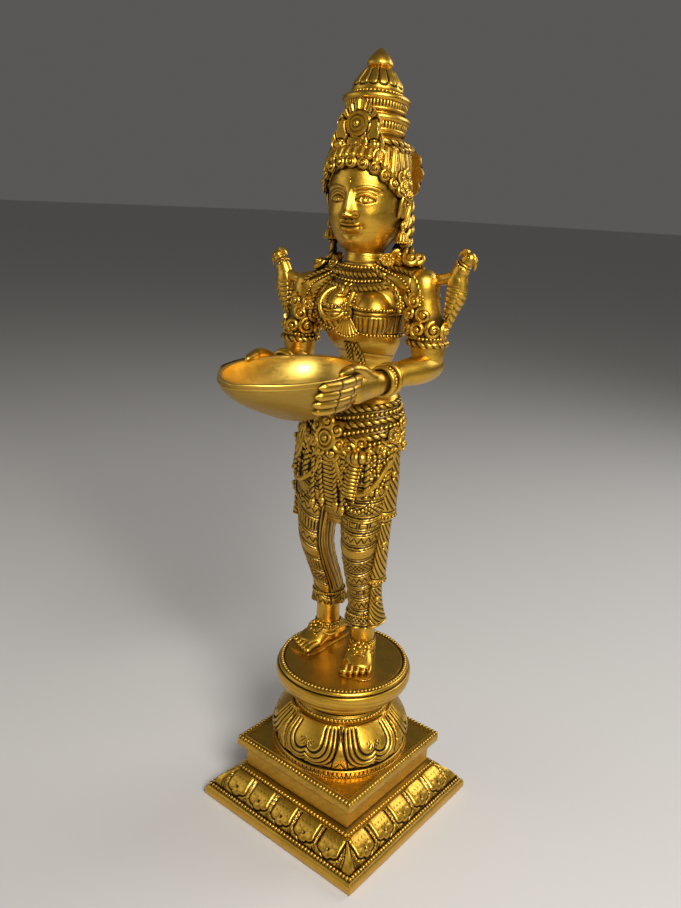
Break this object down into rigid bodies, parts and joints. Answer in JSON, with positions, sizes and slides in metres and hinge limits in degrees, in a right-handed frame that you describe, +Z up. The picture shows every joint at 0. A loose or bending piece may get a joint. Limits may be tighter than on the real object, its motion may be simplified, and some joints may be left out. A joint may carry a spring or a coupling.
{
  "type": "lamp bearer oil lamp",
  "caption": "Brass oil lamp in the form of a standing woman who holds a leaf shaped bowl, with a bird on each shoulder, on a lotus pedestal and stepped square plinth.",
  "frame": {"origin": "centre of the square underside of the plinth", "axes": "+Z up, the figure faces -Y over the front edge of the plinth, its left arm is on the +X side"},
  "size_m": [0.1687, 0.2376, 0.6073],
  "materials": {
    "antique_brass": "polished high places over dark patina in the chased lines",
    "bowl_brass": "burnished, nearly plain",
    "inner_brass": "dull, as turned"
  },
  "bodies": {
    "root": {"plinth": "antique_brass", "upper_tier": "antique_brass", "lotus_dome": "antique_brass", "collar": "antique_brass", "foot_disc": "antique_brass", "tie_rod": "inner_brass", "tie_washer": "inner_brass", "tie_nut": "inner_brass", "foot_studs": "inner_brass", "foot_nuts": "inner_brass", "lower_body": "antique_brass", "left_sash": "antique_brass", "right_sash": "antique_brass", "torso": "antique_brass", "head": "antique_brass", "crown": "antique_brass", "crown_crest": "antique_brass", "crown_finial": "antique_brass", "back_rosette": "antique_brass", "left_ear_pendant": "antique_brass", "right_ear_pendant": "antique_brass", "left_upper_arm": "antique_brass", "right_upper_arm": "antique_brass", "left_forearm": "antique_brass", "right_forearm": "antique_brass", "left_bird": "antique_brass", "right_bird": "antique_brass", "bowl": "bowl_brass", "waist_dowel": "inner_brass", "neck_dowel": "inner_brass", "crown_stud": "inner_brass", "shoulder_dowels": "inner_brass", "elbow_dowels": "inner_brass"}
  },
  "joints": []
}
